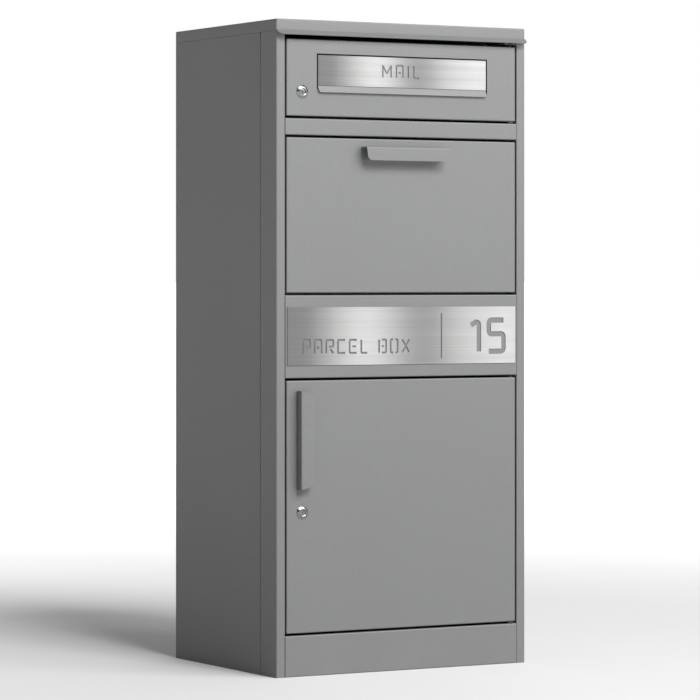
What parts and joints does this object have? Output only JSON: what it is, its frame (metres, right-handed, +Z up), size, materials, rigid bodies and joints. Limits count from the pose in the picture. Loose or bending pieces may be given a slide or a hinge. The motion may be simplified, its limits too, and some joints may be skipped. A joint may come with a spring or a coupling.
{
  "type": "parcel mailbox",
  "caption": "Free-standing sheet-steel mailbox with a letter compartment and letter flap, a tilting parcel flap with its own chute, and a lockable parcel compartment.",
  "frame": {"origin": "centre of the body's footprint, at the underside of the base plate on the ground", "axes": "+X to the right of the front, +Y from the front to the back, +Z up; the doors face -Y"},
  "size_m": [0.447, 0.3531, 1],
  "materials": {
    "powder_coat": "fine-textured grey aluminium powder coat, satin",
    "brushed_plate": "stainless, brushed lengthways",
    "lock_chrome": "polished",
    "zinc_hardware": "zinc plated",
    "black_steel": "black oxide, satin",
    "nylon": "moulded, matte"
  },
  "bodies": {
    "cabinet": {"corner_post_left": "powder_coat", "corner_post_right": "powder_coat", "side_panel_left": "powder_coat", "side_panel_right": "powder_coat", "hood": "powder_coat", "back_panel": "powder_coat", "base_plate": "powder_coat", "mail_shelf": "powder_coat", "retrieval_guard": "powder_coat", "mail_rail": "powder_coat", "address_panel": "powder_coat", "plinth_panel": "powder_coat", "address_plate": "brushed_plate", "hood_screw_left_front": "zinc_hardware", "hood_screw_left_rear": "zinc_hardware", "hood_screw_right_front": "zinc_hardware", "hood_screw_right_rear": "zinc_hardware", "back_screw_left_lower": "zinc_hardware", "back_screw_left_upper": "zinc_hardware", "back_screw_right_lower": "zinc_hardware", "back_screw_right_upper": "zinc_hardware", "mail_hinge_pin_lower": "black_steel", "mail_hinge_pin_upper": "black_steel", "mail_hinge_washer": "nylon", "mail_door_strike": "powder_coat", "parcel_hinge_pin_lower": "black_steel", "parcel_hinge_pin_upper": "black_steel", "parcel_hinge_washer": "nylon", "parcel_door_strike": "powder_coat", "mail_hinge_bracket": "powder_coat", "flap_pivot_pin_left": "black_steel", "flap_pivot_pin_right": "black_steel"},
    "mail_door": {"mail_door_panel": "powder_coat", "mail_lock_housing": "lock_chrome", "mail_lock_nut": "zinc_hardware", "letter_flap_rod": "zinc_hardware", "letter_flap_ear_left": "powder_coat", "letter_flap_ear_right": "powder_coat"},
    "mail_flap": {"letter_flap": "powder_coat", "name_plate": "brushed_plate"},
    "mail_lock": {"mail_lock_plug": "lock_chrome", "mail_lock_cam": "zinc_hardware", "mail_lock_cam_screw": "zinc_hardware"},
    "parcel_flap": {"parcel_flap_panel": "powder_coat", "parcel_flap_handle": "powder_coat", "parcel_flap_handle_screw_left": "zinc_hardware", "parcel_flap_handle_screw_right": "zinc_hardware", "chute_tray": "powder_coat", "chute_cheek_left": "powder_coat", "chute_cheek_right": "powder_coat"},
    "parcel_door": {"parcel_door_panel": "powder_coat", "parcel_lock_housing": "lock_chrome", "parcel_lock_nut": "zinc_hardware", "parcel_door_handle": "powder_coat", "parcel_door_handle_screw_lower": "zinc_hardware", "parcel_door_handle_screw_upper": "zinc_hardware"},
    "parcel_lock": {"parcel_lock_plug": "lock_chrome", "parcel_lock_cam": "zinc_hardware", "parcel_lock_cam_screw": "zinc_hardware"}
  },
  "joints": [
    {"name": "mail_door_hinge", "type": "hinge", "parent": "cabinet", "child": "mail_door", "pos_m": [0.1985, -0.162, 0.9118], "axis": [0, 0, 1], "range_deg": [0, 110]},
    {"name": "letter_flap_hinge", "type": "hinge", "parent": "mail_door", "child": "mail_flap", "pos_m": [0, -0.161, 0.9424], "axis": [-1, 0, 0], "range_deg": [0, 70]},
    {"name": "mail_lock_turn", "type": "hinge", "parent": "mail_door", "child": "mail_lock", "pos_m": [-0.1785, -0.1675, 0.89], "axis": [0, 1, 0], "range_deg": [0, 90]},
    {"name": "parcel_flap_tilt", "type": "hinge", "parent": "cabinet", "child": "parcel_flap", "pos_m": [0, -0.161, 0.5892], "axis": [1, 0, 0], "range_deg": [0, 55]},
    {"name": "parcel_door_hinge", "type": "hinge", "parent": "cabinet", "child": "parcel_door", "pos_m": [0.1985, -0.162, 0.25825], "axis": [0, 0, 1], "range_deg": [0, 110]},
    {"name": "parcel_lock_turn", "type": "hinge", "parent": "parcel_door", "child": "parcel_lock", "pos_m": [-0.1785, -0.1675, 0.2496], "axis": [0, 1, 0], "range_deg": [0, 90]}
  ]
}
